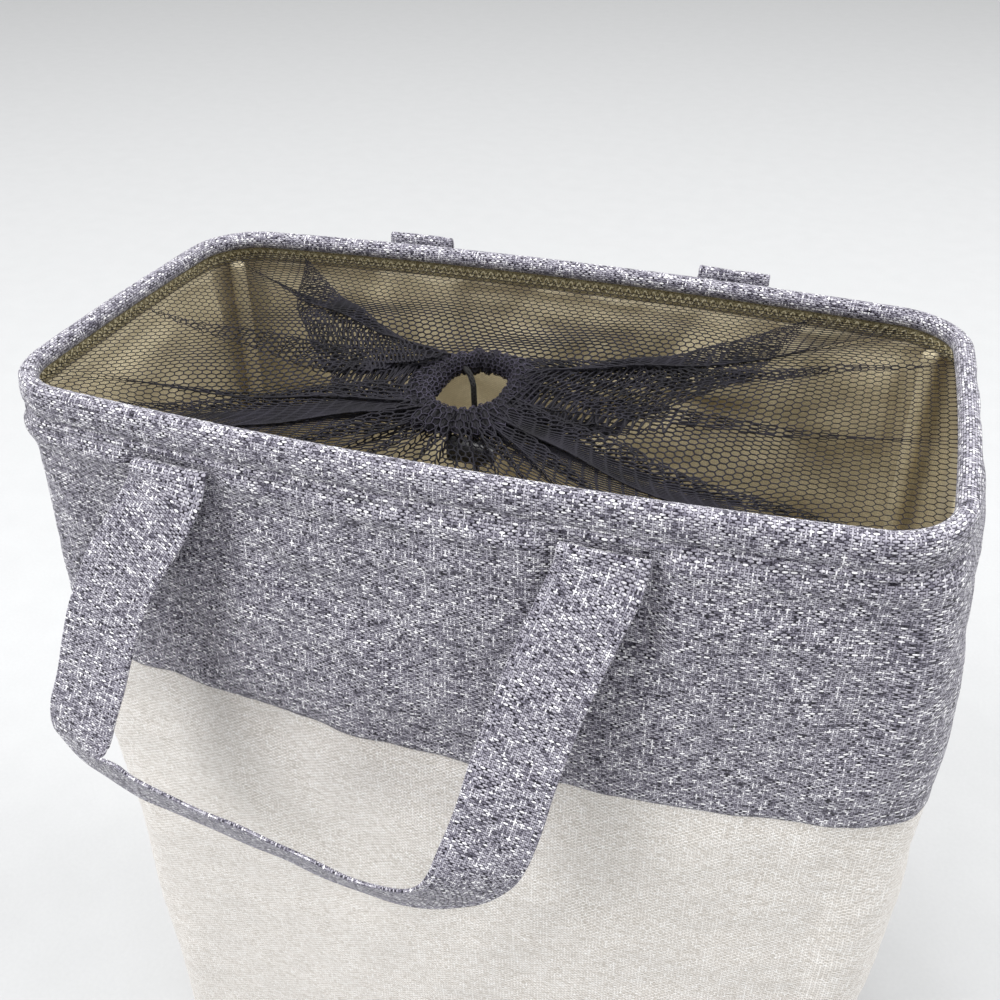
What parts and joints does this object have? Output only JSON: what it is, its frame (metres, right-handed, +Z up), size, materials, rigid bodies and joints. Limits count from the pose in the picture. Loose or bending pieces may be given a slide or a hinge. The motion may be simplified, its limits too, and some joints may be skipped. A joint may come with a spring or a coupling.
{
  "type": "laundry bag",
  "caption": "Rectangular free-standing laundry bag on a tubular rim, with a drawstring mesh cover, two hanging strap handles and two-tone fabric walls.",
  "frame": {"origin": "middle of the footprint, on the surface that the bag stands on", "axes": "+X along the long side to the right, -Y the front, +Z up"},
  "size_m": [0.4566, 0.4246, 0.564],
  "materials": {
    "grey_linen": "coarse two-tone melange plain weave, matt",
    "beige_linen": "plain linen weave, matt",
    "coated_lining": "tan woven lining with a thin satin coating",
    "khaki_tape": "woven tape with lock stitches",
    "hex_mesh": "knitted hexagonal net, matt",
    "black_cord": "braided round cord",
    "frame_tube": "drawn tube",
    "joiner_steel": "turned pin",
    "rod_fibreglass": "pultruded rod",
    "cap_plastic": "moulded cap",
    "board": "rigid polypropylene sheet",
    "lock_plastic": "moulded, fine grain",
    "spring_steel": "drawn wire"
  },
  "bodies": {
    "root": {"back_left_anchor": "grey_linen", "back_right_anchor": "grey_linen", "base_board": "board", "bottom_panel": "beige_linen", "drawcord_knot": "black_cord", "drawcord_loop": "black_cord", "drawcord_tail": "black_cord", "front_left_anchor": "grey_linen", "front_right_anchor": "grey_linen", "lining_floor": "coated_lining", "lining_wall": "coated_lining", "lower_body": "beige_linen", "mesh_binding": "khaki_tape", "mesh_casing": "hex_mesh", "mesh_cover": "hex_mesh", "rim_channel": "grey_linen", "rim_joiner_back": "joiner_steel", "rim_joiner_front": "joiner_steel", "rim_skirt": "grey_linen", "rim_tube_left": "frame_tube", "rim_tube_right": "frame_tube", "rod_back_left": "rod_fibreglass", "rod_back_right": "rod_fibreglass", "rod_end_caps": "cap_plastic", "rod_front_left": "rod_fibreglass", "rod_front_right": "rod_fibreglass", "rod_sleeve_back_left": "coated_lining", "rod_sleeve_back_right": "coated_lining", "rod_sleeve_front_left": "coated_lining", "rod_sleeve_front_right": "coated_lining", "upper_body": "grey_linen"},
    "front_handle": {"front_handle": "grey_linen"},
    "back_handle": {"back_handle": "grey_linen"},
    "cord_lock": {"cord_lock_barrel": "lock_plastic", "cord_lock_spring": "spring_steel"},
    "cord_lock_button": {"cord_lock_plunger": "lock_plastic"}
  },
  "joints": [
    {"name": "front_handle_hinge", "type": "hinge", "parent": "root", "child": "front_handle", "pos_m": [0, -0.12482, 0.534], "axis": [-1, 0, 0], "range_deg": [-14, 158]},
    {"name": "back_handle_hinge", "type": "hinge", "parent": "root", "child": "back_handle", "pos_m": [0, 0.12482, 0.563], "axis": [1, 0, 0], "range_deg": [-14, 158]},
    {"name": "cord_lock_slide", "type": "slide", "parent": "root", "child": "cord_lock", "axis": [0, 0, 1], "range_m": [-0.05, 0.026]},
    {"name": "cord_lock_press", "type": "slide", "parent": "cord_lock", "child": "cord_lock_button", "axis": [-1, 0, 0], "range_m": [0, 0.0035], "stiffness_N_per_m": 300, "springref_m": -0.002, "deforming": ["cord_lock_spring"]}
  ]
}
